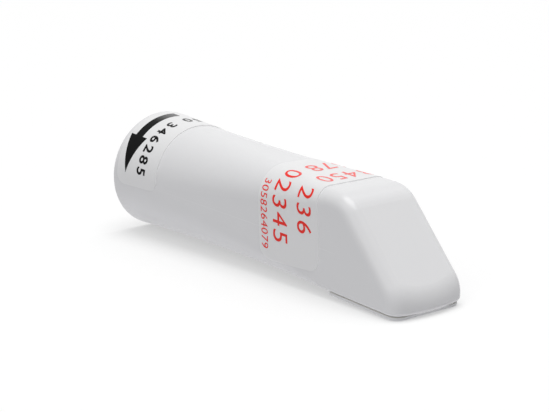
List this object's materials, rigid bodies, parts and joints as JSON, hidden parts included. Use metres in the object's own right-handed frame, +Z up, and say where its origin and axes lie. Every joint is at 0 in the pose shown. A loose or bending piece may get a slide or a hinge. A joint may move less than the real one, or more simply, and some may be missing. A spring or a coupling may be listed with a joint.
{
  "type": "scanner protective cap",
  "caption": "Hollow twist-off protective cap for a handheld optical scanner's nose: round mouth, squared head with slanted closed face and bonded plate.",
  "frame": {"origin": "centre of the round mouth, on its axis, in the plane of its rim", "axes": "+X along the mouth's axis towards the head; +Z up, so that the closing plate under the head faces -Z"},
  "size_m": [0.088, 0.026, 0.0261],
  "materials": {
    "shell_plastic": "satin gloss moulded white",
    "plate_plastic": "satin moulded white",
    "bond": "cured adhesive",
    "ring_plastic": "fine matte moulded",
    "seal_rubber": "soft matte",
    "label_film": "thin printed film"
  },
  "bodies": {
    "root": {"cap_shell": "shell_plastic", "closing_plate": "plate_plastic", "plate_bond": "bond", "lock_ring": "ring_plastic", "seal_ring": "seal_rubber", "main_label": "label_film", "arrow_label": "label_film"}
  },
  "joints": []
}
